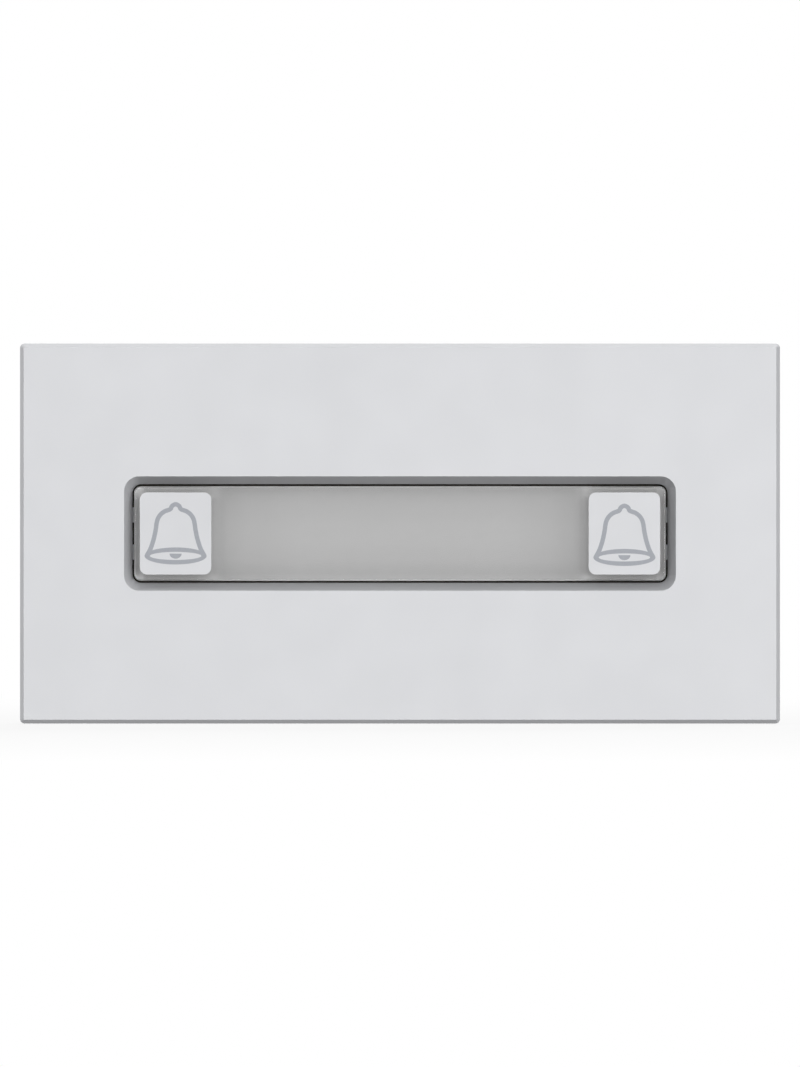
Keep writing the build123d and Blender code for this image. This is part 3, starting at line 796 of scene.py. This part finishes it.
# %% Switches, chip and backlight
SWITCH_TONE = (0.025, 0.025, 0.025, 1.0)
switch_black = new_finish("switch_black", SWITCH_TONE, roughness=0.5)
wander_tone(switch_black, SWITCH_TONE, scaled(SWITCH_TONE, 1.5), size_mm=1.0)
relief(switch_black, depth_mm=0.005, size_mm=0.15)
dress(switch_black, "switch_body_left", "switch_body_right", "switch_plunger_left", "switch_plunger_right")

CHIP_TONE = (0.020, 0.020, 0.021, 1.0)
chip_black = new_finish("chip_black", CHIP_TONE, roughness=0.6)
wander_tone(chip_black, CHIP_TONE, scaled(CHIP_TONE, 1.7), size_mm=0.1, detail=1.0)
relief(chip_black, depth_mm=0.004, size_mm=0.08)
dress(chip_black, "controller_chip")

LED_TONE = (0.86, 0.82, 0.55, 1.0)
led_white = new_finish("led_white", LED_TONE, roughness=0.25)
wander_tone(led_white, scaled(LED_TONE, 0.93), LED_TONE, size_mm=0.4)
dress(led_white, "backlight_leds")
print("small parts dressed")

# %% [markdown]
# ## The board
# The board has a green solder mask over copper tracks, which show as faint raised lines. Real tracks would
# be hundreds of thin strips that nobody sees in the closed housing. The joints of a brick pattern, turned
# into the board's plane, give both their tone and their relief.

# %% Green board with faint tracks
MASK_TONE = (0.020, 0.120, 0.050, 1.0)
TRACK_TONE = (0.030, 0.170, 0.075, 1.0)
TRACK_SCALE = 60.0
TRACK_WIDTH = 0.015
TRACK_DEPTH_MM = 0.035
INTO_BOARD = (np.pi / 2, 0.0, 0.0)

board_green = new_finish("board_green", MASK_TONE, roughness=0.3)
tree = board_green.node_tree
place = tree.nodes.new("ShaderNodeTexCoord")
turned = tree.nodes.new("ShaderNodeMapping")
turned.inputs["Rotation"].default_value = INTO_BOARD
tracks = tree.nodes.new("ShaderNodeTexBrick")
tracks.inputs["Scale"].default_value = TRACK_SCALE
tracks.inputs["Mortar Size"].default_value = TRACK_WIDTH
tracks.inputs["Color1"].default_value = MASK_TONE
tracks.inputs["Color2"].default_value = MASK_TONE
tracks.inputs["Mortar"].default_value = TRACK_TONE
tree.links.new(place.outputs["Object"], turned.inputs["Vector"])
tree.links.new(turned.outputs["Vector"], tracks.inputs["Vector"])
feed(board_green, "Base Color", tracks.outputs["Color"])
raise_by(board_green, tracks.outputs["Fac"], TRACK_DEPTH_MM)
dress(board_green, "circuit_board")
print("board dressed")
